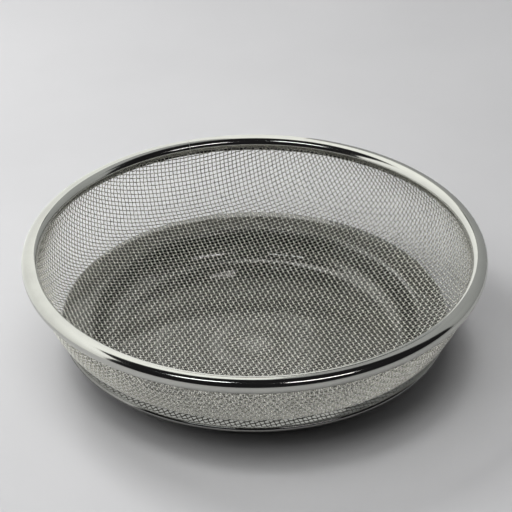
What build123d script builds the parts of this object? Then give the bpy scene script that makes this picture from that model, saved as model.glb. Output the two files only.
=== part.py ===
from build123d import *
import os
from math import cos, degrees, radians, sin

# Round stainless woven-wire strainer basket standing in its own drip tray.
# Millimetres. +Z is up, and the origin is the centre of the tray's underside.
# Each sheet-like piece is drawn as the middle line of its section, then revolved about Z.

# Basket
RIM_OUTER_D = 240.0          # outside of the rolled rim
RIM_TUBE_D = 8.6             # outside of the rim's round section
RIM_STRIP_T = 0.6            # strip that the rim is rolled from
RIM_TOP_Z = 60.0             # top of the rim above the table
RIM_MOUTH = (193.0, 244.0)   # the rolled strip is open between these angles of its section
SEAM_W = 0.3                 # bead that closes the rim's butt joint
SEAM_AZIMUTH = 108.6         # where the butt joint stands around the rim

WIRE_D = 0.55                # mesh wire
MESH_T = 2 * WIRE_D          # a plain weave is two wires thick
MESH_BOTTOM_Z = 7.4          # middle of the mesh at the lowest point of the bowl
# The bowl's section from its centre outwards: arc radius, and the slope at the arc's end.
MESH_ARCS = [(357.0, 12.0), (115.0, 26.0), (12.0, 60.0), (85.0, 68.0)]
LIP_BEND_R = 25.0            # last bend, which brings the mesh upright in the rim's mouth
HEM_R = 2.75                 # middle of the mesh where its edge is turned over the core ring
HEM_WRAP = 215.0             # how far round the core ring the edge is turned
CORE_D = 4.2                 # wire ring inside the rim

# Tray
TRAY_T = 0.6                 # sheet
FLOOR_BEND_R = 10.0          # floor to wall
WALL_SLOPE = 86.0
SHOULDER_BEND_R = 2.7        # wall to flange
SHOULDER_AT = (87.2, 14.7)   # centre of that bend, from the axis and from the table
FLANGE_SLOPE = 6.5
FLANGE_END_R = 100.0
BEAD_R = 1.05                # rolled outer edge
BEAD_WRAP = 295.0

RIM_R = (RIM_OUTER_D - RIM_TUBE_D) / 2
RIM_Z = RIM_TOP_Z - RIM_TUBE_D / 2


def ahead(angle):
    return Vector(cos(radians(angle)), sin(radians(angle)))


def left_of(angle):
    return ahead(angle + 90)


class Section:
    """Middle line of a section: stations (kind, point, angle) that carry on from a start."""

    def __init__(self, start, angle):
        self.point, self.angle = start, angle
        self.stations = [("start", start, angle)]

    def line(self, length):
        self.point = self.point + ahead(self.angle) * length
        self.stations.append(("line", self.point, self.angle))

    def bend(self, radius, turn):
        """Arc of that radius, to the left when turn is positive."""
        reach = radius if turn > 0 else -radius
        centre = self.point + left_of(self.angle) * reach
        for kind in ("half", "bend"):
            self.angle += turn / 2
            self.point = centre - left_of(self.angle) * reach
            self.stations.append((kind, self.point, self.angle))

    def face_line(self, offset):
        """Edges of the sheet's face that lies offset to the left, with its two end points."""
        points = [point + left_of(angle) * offset for _, point, angle in self.stations]
        edges = []
        for i, (kind, _, _) in enumerate(self.stations):
            if kind == "line":
                edges.append(Line(points[i - 1], points[i]))
            elif kind == "bend":
                edges.append(ThreePointArc(points[i - 2], points[i - 1], points[i]))
        return edges, points[0], points[-1]

    def revolved(self, thickness, sweep=360.0):
        """Sheet of that thickness, drawn in the XZ plane and revolved about Z."""
        left, left_start, left_end = self.face_line(thickness / 2)
        right, right_start, right_end = self.face_line(-thickness / 2)
        caps = [Line(left_start, right_start), Line(left_end, right_end)]
        section = Plane.XZ * make_face(left + right + caps)
        return revolve(section, axis=Axis.Z, revolution_arc=sweep)


def mesh_bowl():
    """Pressed mesh cloth, as one sheet, with its edge turned over the core ring."""
    section = Section(Vector(0, MESH_BOTTOM_Z), 0)
    for radius, end_slope in MESH_ARCS:
        section.bend(radius, end_slope - section.angle)
    hem_inner_r = RIM_R - HEM_R
    lip_turn = 90 - section.angle
    lip_run = LIP_BEND_R * (1 - sin(radians(section.angle)))
    section.line((hem_inner_r - lip_run - section.point.X) / cos(radians(section.angle)))
    section.bend(LIP_BEND_R, lip_turn)
    section.line(RIM_Z - section.point.Y)
    section.bend(HEM_R, -HEM_WRAP)
    return section.revolved(MESH_T)


def rim_section():
    """Round section of the rolled strip, open where the mesh passes in."""
    radius = (RIM_TUBE_D - RIM_STRIP_T) / 2
    mouth_from, mouth_to = RIM_MOUTH
    section = Section(Vector(RIM_R, RIM_Z) + ahead(mouth_to) * radius, mouth_to + 90)
    section.bend(radius, 360 - (mouth_to - mouth_from))
    return section


def rim_hoop():
    """Rolled strip, which runs round from one side of its butt joint to the other."""
    seam = degrees(SEAM_W / RIM_R)
    hoop = rim_section().revolved(RIM_STRIP_T, 360 - seam)
    return Rot(0, 0, SEAM_AZIMUTH + seam / 2) * hoop


def rim_seam_weld():
    """Bead that fills the rim's butt joint, ground flush."""
    seam = degrees(SEAM_W / RIM_R)
    weld = rim_section().revolved(RIM_STRIP_T, seam)
    return Rot(0, 0, SEAM_AZIMUTH - seam / 2) * weld


def rim_core_ring():
    """Wire ring that stiffens the rim and carries the mesh's turned edge."""
    section = Plane.XZ * (Pos(RIM_R, RIM_Z) * Circle(CORE_D / 2))
    return revolve(section, axis=Axis.Z)


def drip_tray():
    """Round tray: a flat floor, a steep wall, a flange that the basket rests on, a rolled edge."""
    shoulder = Vector(*SHOULDER_AT)
    wall_top = shoulder + left_of(WALL_SLOPE) * SHOULDER_BEND_R
    middle_z = TRAY_T / 2
    wall_foot_z = middle_z + FLOOR_BEND_R * (1 - cos(radians(WALL_SLOPE)))
    wall_length = (wall_top.Y - wall_foot_z) / sin(radians(WALL_SLOPE))
    wall_foot = wall_top - ahead(WALL_SLOPE) * wall_length
    floor_r = wall_foot.X - FLOOR_BEND_R * sin(radians(WALL_SLOPE))

    section = Section(Vector(0, middle_z), 0)
    section.line(floor_r)
    section.bend(FLOOR_BEND_R, WALL_SLOPE)
    section.line(wall_length)
    section.bend(SHOULDER_BEND_R, FLANGE_SLOPE - WALL_SLOPE)
    section.line((FLANGE_END_R - section.point.X) / cos(radians(FLANGE_SLOPE)))
    section.bend(BEAD_R, -BEAD_WRAP)
    return section.revolved(TRAY_T)


NODES = {
    "drip_tray": drip_tray,
    "mesh_bowl": mesh_bowl,
    "rim_hoop": rim_hoop,
    "rim_seam_weld": rim_seam_weld,
    "rim_core_ring": rim_core_ring,
}

os.makedirs("parts", exist_ok=True)
for name, make in NODES.items():
    export_step(make(), f"parts/{name}.step")
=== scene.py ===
from math import cos, hypot, pi, radians, sin

import bmesh
import bpy
import numpy as np
from mathutils import Euler, Matrix, Vector


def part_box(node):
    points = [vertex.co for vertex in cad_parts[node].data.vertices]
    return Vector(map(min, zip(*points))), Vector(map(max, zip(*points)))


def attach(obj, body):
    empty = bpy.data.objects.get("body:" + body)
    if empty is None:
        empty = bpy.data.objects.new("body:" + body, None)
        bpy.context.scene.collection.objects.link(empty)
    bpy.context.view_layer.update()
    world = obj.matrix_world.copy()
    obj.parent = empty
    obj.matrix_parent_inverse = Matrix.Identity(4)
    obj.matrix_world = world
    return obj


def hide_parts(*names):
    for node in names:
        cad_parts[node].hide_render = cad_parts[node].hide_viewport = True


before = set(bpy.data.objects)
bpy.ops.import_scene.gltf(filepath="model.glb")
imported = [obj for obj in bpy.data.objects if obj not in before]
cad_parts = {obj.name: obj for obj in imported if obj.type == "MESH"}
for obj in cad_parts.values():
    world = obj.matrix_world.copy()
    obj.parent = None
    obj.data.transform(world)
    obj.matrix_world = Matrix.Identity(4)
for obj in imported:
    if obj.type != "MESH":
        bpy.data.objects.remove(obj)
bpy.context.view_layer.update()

# Sizes in metres, slopes in degrees. The rim's and the mesh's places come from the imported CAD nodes.
MM = 0.001
rim_low, rim_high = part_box("rim_hoop")
RIM_TUBE_R = (rim_high.z - rim_low.z) / 2
RIM_R = rim_high.x - RIM_TUBE_R            # axis to the middle of the rim's round section
RIM_Z = rim_high.z - RIM_TUBE_R
RIM_STRIP_T = 0.6 * MM
RIM_MOUTH = (193, 244)                     # the rolled strip is open between these angles of its section
SEAM_AZIMUTH = radians(108.6)
SEAM_W = 0.3 * MM
SEAM_DEPTH = 0.015 * MM                    # how far the ground weld lies below the strip's face

WIRE_R = 0.275 * MM
WEAVE_PITCH = 2.305 * MM                   # from one wire to the next along the cloth
WEAVE_TURN = radians(20.3)                 # how far the cloth's wires are turned from +X
MESH_MIDDLE_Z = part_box("mesh_bowl")[0].z + 2 * WIRE_R
# The bowl's section from its centre outwards: arc radius, and the slope at the arc's end.
MESH_ARCS = [(357 * MM, 12), (115 * MM, 26), (12 * MM, 60), (85 * MM, 68)]
LIP_BEND_R = 25 * MM
HEM_R = 2.75 * MM
CORE_R = 2.1 * MM

TRAY_T = 0.6 * MM
FLOOR_BEND_R = 10 * MM
WALL_SLOPE = 86
SHOULDER_BEND_R = 2.7 * MM
SHOULDER_R, SHOULDER_Z = 87.2 * MM, 14.7 * MM
FLANGE_SLOPE = 6.5
FLANGE_END_R = 100 * MM
BEAD_R = 1.05 * MM
BEAD_WRAP = 295

# Camera: it looks along +Y, down at the middle of the rim.
VIEW_DOWN = 32.5
VIEW_ROLL = -0.25
VIEW_DISTANCE = 1135 * MM
LENS_MM = 154.7
SHIFT = (0.0027, -0.0055)

# Stage
FLOOR_HALF = 2.4
FLOOR_Z = -0.02 * MM
WALL_TOP = 2.8
WALL_T = 0.1
SQUARE = ((-1, -1), (1, -1), (1, 1), (-1, 1))
CEILING_Z = 1.2

# Colours from dark to light
WIRE_DARK, WIRE_LIGHT = (0.78, 0.775, 0.725), (0.88, 0.875, 0.82)
# The tray's colours are the rim's polished steel darkened to about half: painted shade that dims what the tray
# mirrors under the basket.
TRAY_SHADED_DARK, TRAY_SHADED_LIGHT = (0.26, 0.26, 0.25), (0.31, 0.31, 0.297)
STEEL_DARK, STEEL_LIGHT = (0.55, 0.55, 0.52), (0.60, 0.60, 0.565)
TABLE_DARK, TABLE_LIGHT = (0.60, 0.60, 0.605), (0.63, 0.63, 0.635)
WIRE_ROUGHNESS = (0.12, 0.18)
WIRE_METALLIC = 0.9

# Fineness of the meshes
TURNS = 480                                # sides of a round sheet piece
PER_CROSSING = 3                           # samples of a wire from one crossing to the next
WIRE_SIDES = 6
BANDS = 3                                  # pieces that each direction's wires are kept in


class Section:
    """Middle line of a sheet's section: samples of radius, height and slope."""

    def __init__(self, r, z, slope=0.0):
        self.samples = [(r, z, radians(slope))]

    @property
    def end(self):
        return self.samples[-1]

    def line(self, length, steps=1):
        for _ in range(steps):
            r, z, a = self.end
            self.samples.append((r + length / steps * cos(a), z + length / steps * sin(a), a))

    def bend(self, radius, turn, step):
        """Arc of that radius, to the left when turn (degrees) is positive, sampled every step degrees."""
        steps = max(4, round(abs(turn) / step))
        turn = radians(turn)
        reach = radius if turn > 0 else -radius
        r, z, a = self.end
        centre_r, centre_z = r - reach * sin(a), z + reach * cos(a)
        for k in range(1, steps + 1):
            b = a + turn * k / steps
            self.samples.append((centre_r + reach * sin(b), centre_z - reach * cos(b), b))

    def outline(self, thickness):
        """Closed outline of the sheet. An edge away from the axis is rounded."""
        half = thickness / 2
        left = [(r - half * sin(a), z + half * cos(a)) for r, z, a in self.samples]
        right = [(r + half * sin(a), z - half * cos(a)) for r, z, a in reversed(self.samples)]
        return left + self.edge(self.end, half, 90) + right + self.edge(self.samples[0], half, 270)

    @staticmethod
    def edge(sample, half, start):
        r, z, a = sample
        if r < half:
            return []
        turns = [a + radians(start - 30 * k) for k in range(1, 6)]
        return [(r + half * cos(b), z + half * sin(b)) for b in turns]


def mesh_section(step_length):
    """The mesh's middle surface, up to the rim's middle and straight on above it."""
    section = Section(0, MESH_MIDDLE_Z)
    for radius, end_slope in MESH_ARCS:
        turn = end_slope - np.degrees(section.end[2])
        section.bend(radius, turn, np.degrees(step_length / radius))
    r, z, a = section.end
    lip_run = LIP_BEND_R * (1 - sin(a))
    section.line((RIM_R - HEM_R - lip_run - r) / cos(a), 4)
    section.bend(LIP_BEND_R, 90 - np.degrees(a), np.degrees(step_length / LIP_BEND_R))
    section.line(4 * WEAVE_PITCH + RIM_Z - section.end[1], 60)
    return np.array(section.samples)


def rim_section():
    """Round section of the rolled strip, open where the mesh passes in."""
    radius = RIM_TUBE_R - RIM_STRIP_T / 2
    mouth_from, mouth_to = RIM_MOUTH
    a = radians(mouth_to)
    section = Section(RIM_R + radius * cos(a), RIM_Z + radius * sin(a), mouth_to + 90)
    section.bend(radius, 360 - (mouth_to - mouth_from), 6)
    return section


def tray_section():
    a = radians(WALL_SLOPE)
    top_r, top_z = SHOULDER_R - SHOULDER_BEND_R * sin(a), SHOULDER_Z + SHOULDER_BEND_R * cos(a)
    foot_z = TRAY_T / 2 + FLOOR_BEND_R * (1 - cos(a))
    wall = (top_z - foot_z) / sin(a)
    section = Section(0, TRAY_T / 2)
    section.line(top_r - wall * cos(a) - FLOOR_BEND_R * sin(a), 12)
    section.bend(FLOOR_BEND_R, WALL_SLOPE, 6)
    section.line(wall, 3)
    section.bend(SHOULDER_BEND_R, FLANGE_SLOPE - WALL_SLOPE, 6)
    section.line((FLANGE_END_R - section.end[0]) / cos(radians(FLANGE_SLOPE)), 4)
    section.bend(BEAD_R, -BEAD_WRAP, 9)
    return section


def mesh_object(name, points, quads, others=()):
    """Object from points, an array of quads and a list of other faces, smooth but for its square corners."""
    corners = np.concatenate([quads.ravel(), *map(np.array, others)]).astype(np.int32)
    counts = np.array([4] * len(quads) + [len(face) for face in others], np.int32)
    data = bpy.data.meshes.new(name)
    data.vertices.add(len(points))
    data.vertices.foreach_set("co", np.asarray(points, np.float32).ravel())
    data.loops.add(len(corners))
    data.loops.foreach_set("vertex_index", corners)
    data.polygons.add(len(counts))
    data.polygons.foreach_set("loop_start", np.cumsum(counts, dtype=np.int32) - counts)
    data.polygons.foreach_set("loop_total", counts)
    data.update(calc_edges=True)
    data.validate()
    data.shade_smooth()
    data.set_sharp_from_angle(angle=radians(75))
    made = bpy.data.objects.new(name, data)
    bpy.context.scene.collection.objects.link(made)
    return made


def revolved(name, outline, turns=TURNS, start=0.0, sweep=2 * pi):
    """Closed outline of (radius, height) points turned about Z. A part turn gets flat ends."""
    whole = sweep > 2 * pi - 1e-6
    angles = start + sweep * np.arange(turns + (not whole)) / turns
    r, z = np.array(outline).T
    rings, n = len(angles), len(outline)
    x, y = np.outer(np.cos(angles), r), np.outer(np.sin(angles), r)
    points = np.stack([x, y, np.tile(z, (rings, 1))], axis=2)
    ring, corner = np.meshgrid(np.arange(turns), np.arange(n), indexing="ij")
    next_ring, next_corner = (ring + 1) % rings, (corner + 1) % n
    quads = np.stack([ring * n + corner, next_ring * n + corner,
                      next_ring * n + next_corner, ring * n + next_corner], axis=2).reshape(-1, 4)
    ends = [] if whole else [np.arange(n), np.arange(n)[::-1] + turns * n]
    made = mesh_object(name, points.reshape(-1, 3), quads, ends)
    if r.min() < 1e-9:
        weld_poles(made.data)
    return made


def weld_poles(data):
    """Joins the points that a revolved outline leaves on the axis."""
    shape = bmesh.new()
    shape.from_mesh(data)
    on_axis = [v for v in shape.verts if hypot(v.co.x, v.co.y) < 1e-7]
    bmesh.ops.remove_doubles(shape, verts=on_axis, dist=1e-6)
    shape.to_mesh(data)
    shape.free()


class Bowl:
    """The mesh's middle surface: radius, height and slope for a distance along it from the centre."""

    def __init__(self):
        self.r, self.z, self.slope = mesh_section(0.25 * MM).T
        steps = np.hypot(np.diff(self.r), np.diff(self.z))
        self.s = np.concatenate([[0], np.cumsum(steps)])
        self.edge = float(np.interp(RIM_Z, self.z, self.s))

    def place(self, s, turn):
        r = np.interp(s, self.s, self.r)
        return np.stack([r * np.cos(turn), r * np.sin(turn), np.interp(s, self.s, self.z)], axis=-1)

    def along(self, s, turn):
        """How the place moves with s, and with turn."""
        r, a = np.interp(s, self.s, self.r), np.interp(s, self.s, self.slope)
        with_s = np.stack([np.cos(a) * np.cos(turn), np.cos(a) * np.sin(turn), np.sin(a)], axis=-1)
        with_turn = np.stack([-r * np.sin(turn), r * np.cos(turn), np.zeros_like(r)], axis=-1)
        return with_s, with_turn

    def normal(self, points, s):
        """Unit normals on the food's side."""
        a = np.interp(s, self.s, self.slope)
        out = points[:, :2] / np.maximum(np.hypot(points[:, 0], points[:, 1]), 1e-9)[:, None]
        return np.column_stack([-np.sin(a)[:, None] * out, np.cos(a)])


def quarter_net(bowl):
    """Crossings of a quarter of the cloth, pressed to the bowl with every mesh side kept at the weave's pitch.

    Two wires run straight out from the centre. Each further crossing is one pitch from two known ones."""
    count = int(bowl.edge / WEAVE_PITCH) + 3
    reach = bowl.s[-1]
    s = np.full((count, count), np.nan)
    turn = np.full((count, count), np.nan)
    straight = np.arange(count) * WEAVE_PITCH
    straight[straight > reach] = np.nan
    s[:, 0], s[0, :] = straight, straight
    turn[:, 0], turn[0, 1:] = 0, pi / 2
    for diagonal in range(2, 2 * count - 1):
        i = np.arange(max(1, diagonal - count + 1), min(count, diagonal))
        j = diagonal - i
        known = np.isfinite(s[i - 1, j]) & np.isfinite(s[i, j - 1])
        i, j = i[known], j[known]
        if not len(i):
            break
        beside = [bowl.place(s[i - 1, j], turn[i - 1, j]), bowl.place(s[i, j - 1], turn[i, j - 1])]
        guess = beside[0] + beside[1] - bowl.place(s[i - 1, j - 1], turn[i - 1, j - 1])
        new_s = s[i - 1, j] + s[i, j - 1] - s[i - 1, j - 1]
        new_turn = np.arctan2(guess[:, 1], guess[:, 0])
        for _ in range(12):
            point = bowl.place(new_s, new_turn)
            with_s, with_turn = bowl.along(new_s, new_turn)
            miss = np.stack([((point - b) ** 2).sum(1) - WEAVE_PITCH ** 2 for b in beside], axis=1)
            slopes = np.stack([np.stack([2 * ((point - b) * d).sum(1) for d in (with_s, with_turn)], axis=1)
                               for b in beside], axis=1)
            step = np.linalg.solve(slopes, miss[:, :, None])[:, :, 0]
            new_s, new_turn = new_s - step[:, 0], new_turn - step[:, 1]
        good = (np.abs(miss).max(axis=1) < 1e-10) & (new_s < reach)
        s[i[good], j[good]], turn[i[good], j[good]] = new_s[good], new_turn[good]
    return s, turn


def whole_net(bowl):
    """Places of all crossings, and their distances from the centre along the cloth, as square grids."""
    s, turn = quarter_net(bowl)
    n = len(s) - 1
    grid_s = np.full((2 * n + 1, 2 * n + 1), np.nan)
    grid_p = np.full((2 * n + 1, 2 * n + 1, 3), np.nan)
    i, j = np.meshgrid(np.arange(n + 1), np.arange(n + 1), indexing="ij")
    for quarter, (column, row) in enumerate([(i, j), (-j, i), (-i, -j), (j, -i)]):
        grid_s[n + column, n + row] = s
        grid_p[n + column, n + row] = bowl.place(s, turn + quarter * pi / 2 + WEAVE_TURN)
    return grid_s, grid_p


def through(values, u):
    """Smooth curve through values, at the places u counted in values."""
    k = np.clip(np.floor(u).astype(int), 0, len(values) - 2)
    t = (u - k)[:, None]
    before, a, b, after = (values[np.clip(k + d, 0, len(values) - 1)] for d in (-1, 0, 1, 2))
    return 0.5 * (2 * a + (b - before) * t + (2 * before - 5 * a + 4 * b - after) * t ** 2
                  + (3 * a - before - 3 * b + after) * t ** 3)


def wire_tube(bowl, s, crossings, over):
    """Rings of points of a wire's tube. over is 1 if the wire passes over at the first crossing, else -1."""
    inside = np.flatnonzero(s <= bowl.edge)
    if len(inside) < 3:
        return None
    first, last = inside[0], inside[-1]
    u_from, u_to = float(first), float(last)
    if first > 0 and np.isfinite(s[first - 1]):
        u_from = first - (bowl.edge - s[first]) / (s[first - 1] - s[first])
    if last + 1 < len(s) and np.isfinite(s[last + 1]):
        u_to = last + (bowl.edge - s[last]) / (s[last + 1] - s[last])
    known = np.flatnonzero(np.isfinite(s))
    steps = np.arange(int(u_from * PER_CROSSING) + 1, int(np.ceil(u_to * PER_CROSSING)))
    u = np.concatenate([[u_from], steps / PER_CROSSING, [u_to]])
    middle = through(crossings[known[0]:known[-1] + 1], u - known[0])
    far = np.interp(u, known, s[known])
    normal = bowl.normal(middle, far)
    middle = middle + normal * (over * WIRE_R * np.cos(pi * u))[:, None]
    ahead = np.gradient(middle, axis=0)
    ahead /= np.linalg.norm(ahead, axis=1)[:, None]
    side = np.cross(normal, ahead)
    side /= np.linalg.norm(side, axis=1)[:, None]
    up = np.cross(ahead, side)
    corners = 2 * pi * np.arange(WIRE_SIDES) / WIRE_SIDES
    return (middle[:, None] + WIRE_R * (np.cos(corners)[None, :, None] * side[:, None]
                                        + np.sin(corners)[None, :, None] * up[:, None]))


def wires(name, tubes):
    """One object from the tubes of several wires."""
    points, quads, ends, start = [], [], [], 0
    for tube in tubes:
        rings = len(tube)
        ring, corner = np.meshgrid(np.arange(rings - 1), np.arange(WIRE_SIDES), indexing="ij")
        after = (corner + 1) % WIRE_SIDES
        quads.append(start + np.stack([ring * WIRE_SIDES + corner, ring * WIRE_SIDES + after,
                                       (ring + 1) * WIRE_SIDES + after, (ring + 1) * WIRE_SIDES + corner],
                                      axis=2).reshape(-1, 4))
        end = np.arange(WIRE_SIDES)
        ends += [start + end[::-1], start + end + (rings - 1) * WIRE_SIDES]
        points.append(tube.reshape(-1, 3))
        start += rings * WIRE_SIDES
    return mesh_object(name, np.concatenate(points), np.concatenate(quads), ends)


def woven_mesh():
    """The pressed cloth: warp and weft wires, each direction in a few bands of neighbouring wires."""
    bowl = Bowl()
    grid_s, grid_p = whole_net(bowl)
    made = []
    for name, turned, over in (("warp", False, 1), ("weft", True, -1)):
        s, p = (grid_s.T, grid_p.transpose(1, 0, 2)) if turned else (grid_s, grid_p)
        tubes = [wire_tube(bowl, s[:, k], p[:, k], over * (-1) ** k) for k in range(s.shape[1])]
        tubes = [tube for tube in tubes if tube is not None]
        for band in range(BANDS):
            share = tubes[len(tubes) * band // BANDS:len(tubes) * (band + 1) // BANDS]
            made.append(wires(f"{name}_wires_{band + 1}", share))
    return made


class Nodes:
    """A material and short calls that add nodes to it."""

    def __init__(self, name):
        self.material = bpy.data.materials.new(name)
        self.material.use_nodes = True
        self.tree = self.material.node_tree
        self.shader = self.tree.nodes["Principled BSDF"]
        self.place = self.add("ShaderNodeTexCoord").outputs["Object"]

    def add(self, kind, inputs=None, **settings):
        node = self.tree.nodes.new(kind)
        for key, value in settings.items():
            setattr(node, key, value)
        for key, value in (inputs or {}).items():
            if isinstance(value, bpy.types.NodeSocket):
                self.tree.links.new(value, node.inputs[key])
            else:
                node.inputs[key].default_value = value
        return node

    def maths(self, operation, a, b=0.0):
        return self.add("ShaderNodeMath", {0: a, 1: b}, operation=operation).outputs[0]

    def noise(self, scale, detail=2.0, place=None):
        inputs = {"Vector": place or self.place, "Scale": scale, "Detail": detail}
        return self.add("ShaderNodeTexNoise", inputs).outputs["Fac"]

    def range(self, value, low, high, from_low=0.3, from_high=0.7):
        inputs = {"Value": value, "From Min": from_low, "From Max": from_high, "To Min": low, "To Max": high}
        return self.add("ShaderNodeMapRange", inputs).outputs["Result"]

    def blend(self, value, dark, light):
        mix = self.add("ShaderNodeMix", {0: value, 6: (*dark, 1), 7: (*light, 1)}, data_type="RGBA")
        return mix.outputs[2]

    def bumps(self, *layers):
        """Normal from layers of (height from 0 to 1, depth in metres)."""
        normal = None
        for height, depth in layers:
            inputs = {"Height": height, "Distance": depth, "Strength": 1.0}
            if normal:
                inputs["Normal"] = normal
            normal = self.add("ShaderNodeBump", inputs).outputs["Normal"]
        return normal

    def finish(self, colour, roughness, normal, metallic=1.0):
        self.shader.inputs["Metallic"].default_value = metallic
        self.tree.links.new(colour, self.shader.inputs["Base Color"])
        self.tree.links.new(roughness, self.shader.inputs["Roughness"])
        self.tree.links.new(normal, self.shader.inputs["Normal"])
        return self.material


def around_axis(nodes, across, around):
    """Place that runs in long lines round the Z axis: fine across them, slow along them."""
    parts = nodes.add("ShaderNodeSeparateXYZ", {0: nodes.place}).outputs
    radius = nodes.maths("SQRT", nodes.maths("ADD", nodes.maths("MULTIPLY", parts[0], parts[0]),
                                             nodes.maths("MULTIPLY", parts[1], parts[1])))
    turn = nodes.maths("ARCTAN2", parts[1], parts[0])
    stretched = {0: nodes.maths("MULTIPLY", radius, across), 1: nodes.maths("MULTIPLY", turn, around),
                 2: nodes.maths("MULTIPLY", parts[2], across)}
    return nodes.add("ShaderNodeCombineXYZ", stretched).outputs[0]


def polished_steel(name, dark, light, roughness, waviness):
    """Mirror-polished sheet: slow waves from pressing, faint polishing lines that run round it."""
    nodes = Nodes(name)
    lines = nodes.noise(1.0, 3.0, around_axis(nodes, 2500, 6))
    smears = nodes.noise(45, 4.0)
    waves = nodes.noise(22, 1.0)
    colour = nodes.blend(nodes.range(smears, 0, 1), dark, light)
    rough = nodes.range(nodes.maths("ADD", nodes.maths("MULTIPLY", smears, 0.6),
                                    nodes.maths("MULTIPLY", lines, 0.4)), *roughness)
    return nodes.finish(colour, rough, nodes.bumps((waves, waviness), (lines, 0.0006 * MM)))


def drawn_wire(name):
    """Bright stainless wire: each wire a little different, with a fine drawn grain."""
    nodes = Nodes(name)
    own = nodes.add("ShaderNodeNewGeometry").outputs["Random Per Island"]
    grain = nodes.noise(2600, 3.0)
    patches = nodes.noise(120, 2.0)
    shade = nodes.maths("ADD", nodes.maths("MULTIPLY", own, 0.1), nodes.maths("MULTIPLY", patches, 0.9))
    colour = nodes.blend(nodes.range(shade, 0, 1, 0.2, 0.8), WIRE_DARK, WIRE_LIGHT)
    rough = nodes.range(grain, *WIRE_ROUGHNESS)
    return nodes.finish(colour, rough, nodes.bumps((grain, 0.004 * MM)), WIRE_METALLIC)


def ground_weld(name):
    """Weld bead ground flush: duller, with coarse grinding marks."""
    nodes = Nodes(name)
    marks = nodes.noise(1.0, 4.0, around_axis(nodes, 900, 60))
    heat = nodes.noise(300, 3.0)
    colour = nodes.blend(nodes.range(heat, 0, 1), (0.48, 0.46, 0.43), (0.68, 0.66, 0.62))
    return nodes.finish(colour, nodes.range(marks, 0.3, 0.55), nodes.bumps((marks, 0.02 * MM)))


rim_steel = polished_steel("rim_polished_steel", STEEL_DARK, STEEL_LIGHT, (0.08, 0.15), 0.012 * MM)
# The tray gets the rim's polished steel in a much darker colour: painted shade in its reflections.
tray_steel = polished_steel("tray_steel_painted_shade", TRAY_SHADED_DARK, TRAY_SHADED_LIGHT, (0.02, 0.06), 0.05 * MM)
wire_steel = drawn_wire("mesh_drawn_wire")
weld_steel = ground_weld("rim_ground_weld")


def finished(piece, material, slot, body, *nodes):
    piece.data.materials.append(material)
    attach(piece, body)
    if nodes:
        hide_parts(*nodes)
    return piece


seam_half = SEAM_W / RIM_R / 2
strip = rim_section().outline(RIM_STRIP_T)
hoop = revolved("rolled_rim", strip, start=SEAM_AZIMUTH + seam_half, sweep=2 * pi - 2 * seam_half)
finished(hoop, rim_steel, "rim_strip", "basket", "rim_hoop")
bead_section = rim_section().outline(RIM_STRIP_T - 2 * SEAM_DEPTH)
weld = revolved("rim_weld", bead_section, turns=6, start=SEAM_AZIMUTH - seam_half, sweep=2 * seam_half)
finished(weld, weld_steel, "weld", "basket", "rim_seam_weld")
core = Section(RIM_R - CORE_R, RIM_Z, -90)
core.bend(CORE_R, 360, 15)
core_ring = revolved("rim_core_wire", [(r, z) for r, z, _ in core.samples[:-1]])
finished(core_ring, wire_steel, "core_wire", "basket", "rim_core_ring")
tray = revolved("pressed_tray", tray_section().outline(TRAY_T))
finished(tray, tray_steel, "tray_sheet", "tray", "drip_tray")
for band in woven_mesh():
    finished(band, wire_steel, "mesh_wire", "basket", "mesh_bowl")


def linked(made):
    bpy.context.scene.collection.objects.link(made)
    return made


def flat(name, corners, material):
    """One flat face on the stage."""
    data = bpy.data.meshes.new(name)
    data.from_pydata(corners, [], [range(len(corners))])
    data.materials.append(material)
    made = linked(bpy.data.objects.new(name, data))
    return made


def paint(name, glow_strength=0.0):
    """Matt pale paint."""
    nodes = Nodes(name)
    shade = nodes.blend(nodes.range(nodes.noise(7, 5.0), 0, 1), TABLE_DARK, TABLE_LIGHT)
    nodes.tree.links.new(shade, nodes.shader.inputs["Base Color"])
    nodes.shader.inputs["Roughness"].default_value = 0.55
    nodes.shader.inputs["Specular IOR Level"].default_value = 0
    nodes.shader.inputs["Emission Color"].default_value = (0.9, 0.9, 0.91, 1)
    nodes.shader.inputs["Emission Strength"].default_value = glow_strength
    return nodes.material


def glow(name, corners, colour, strength=1.0):
    """Card or lamp that shows only in the steel. It is dimmer towards the table."""
    nodes = Nodes(f"{name}_glow")
    height = nodes.add("ShaderNodeSeparateXYZ", {0: nodes.place}).outputs[2]
    light = nodes.maths("ADD", nodes.maths("MULTIPLY", nodes.noise(5, 2.0), 0.4),
                        nodes.range(height, 0, 0.6, 0.0, 0.22))
    shade = nodes.blend(light, [0.62 * c for c in colour], colour)
    nodes.tree.links.new(shade, nodes.shader.inputs["Emission Color"])
    nodes.shader.inputs["Base Color"].default_value = (0, 0, 0, 1)
    nodes.shader.inputs["Specular IOR Level"].default_value = 0
    nodes.shader.inputs["Emission Strength"].default_value = strength
    made = flat(name, corners, nodes.material)
    made.visible_camera = made.visible_diffuse = made.visible_shadow = False


def card(name, feet, heights, colour):
    """Upright card on the table, with its two feet and the height of each end."""
    (xa, ya), (xb, yb) = feet
    glow(name, [(xa, ya, 0), (xb, yb, 0), (xb, yb, heights[1]), (xa, ya, heights[0])], colour)


def ceiling(name, centre, size, colour, strength=1.0):
    """Level panel overhead."""
    (x, y), (width, depth) = centre, size
    corners = [(x + i * width / 2, y + j * depth / 2, CEILING_Z) for i, j in SQUARE]
    glow(name, corners, colour, strength)


def softbox(name, place, aim, size, power):
    """Light that falls on the table and doesn't show in the steel."""
    data = bpy.data.lights.new(name, "AREA")
    data.shape, data.size, data.energy = "SQUARE", size, power
    made = linked(bpy.data.objects.new(name, data))
    made.location = place
    made.rotation_euler = (Vector(aim) - Vector(place)).to_track_quat("-Z", "Y").to_euler()
    made.visible_camera = made.visible_glossy = False


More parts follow.
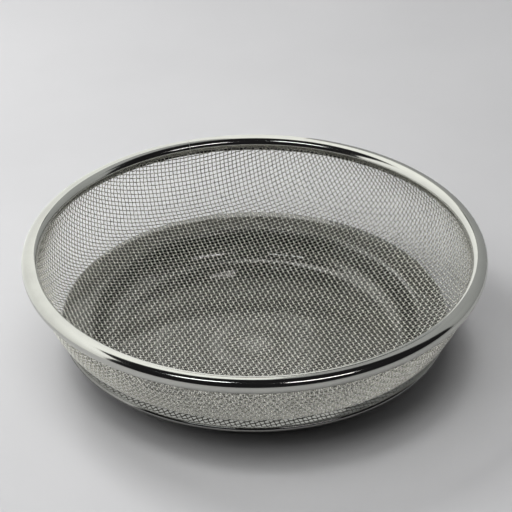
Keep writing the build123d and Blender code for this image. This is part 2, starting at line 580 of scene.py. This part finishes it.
flat("table", [(x * FLOOR_HALF, y * FLOOR_HALF, FLOOR_Z) for x, y in SQUARE], paint("table_paint"))
wall_r = FLOOR_HALF - WALL_T
wall = [(wall_r, FLOOR_Z), (wall_r, WALL_TOP), (FLOOR_HALF, WALL_TOP), (FLOOR_HALF, FLOOR_Z)]
backdrop = revolved("backdrop", wall, turns=96)
backdrop.data.materials.append(paint("backdrop_paint", 0.25))
backdrop.visible_glossy = backdrop.visible_diffuse = backdrop.visible_shadow = False
card("white_card", ((-0.420, -0.227), (0.040, 0.314)), (0.32, 0.26), (1.30, 1.31, 1.29))
card("grey_card", ((0.041, 0.313), (0.480, -0.008)), (0.26, 0.45), (0.52, 0.53, 0.53))
ceiling("ceiling_white", (-0.71, 0.785), (1.58, 1.23), (1.35, 1.36, 1.33))
ceiling("ceiling_grey", (0.79, 0.785), (1.40, 1.23), (0.55, 0.56, 0.56))
ceiling("left_lamp", (-0.47, -0.75), (0.55, 0.16), (0.95, 0.98, 1.0), 4.5)
ceiling("right_lamp", (0.80, -1.14), (0.95, 0.20), (1.0, 0.97, 1.0), 4.5)
softbox("key_light", (-0.45, 0.35, 0.75), (0, 0, 0), 0.35, 3.2)
softbox("fill_light", (-0.55, -0.15, 1.15), (-0.08, 0, 0), 1.7, 12.5)
softbox("room_light", (0, 0, 3), (0, 0, 0), 8, 64)

world = bpy.data.worlds.new("studio_air")
bpy.context.scene.world = world
world.use_nodes = True
world.node_tree.nodes["Background"].inputs["Color"].default_value = (0.95, 0.93, 1.0, 1)
world.node_tree.nodes["Background"].inputs["Strength"].default_value = 0.025

camera_data = bpy.data.cameras.new("camera")
camera_data.lens, camera_data.sensor_width = LENS_MM, 36
camera_data.shift_x, camera_data.shift_y = SHIFT
camera_data.clip_start, camera_data.clip_end = 0.05, 20
camera = linked(bpy.data.objects.new("camera", camera_data))
down = radians(VIEW_DOWN)
camera.location = (0, -VIEW_DISTANCE * cos(down), RIM_Z + VIEW_DISTANCE * sin(down))
camera.rotation_euler = (Euler((pi / 2 - down, 0, 0)).to_matrix()
                         @ Matrix.Rotation(radians(VIEW_ROLL), 3, "Z")).to_euler()
bpy.context.scene.camera = camera
look = bpy.context.scene.view_settings
look.view_transform, look.exposure, look.gamma = "Standard", 0.2, 0.84
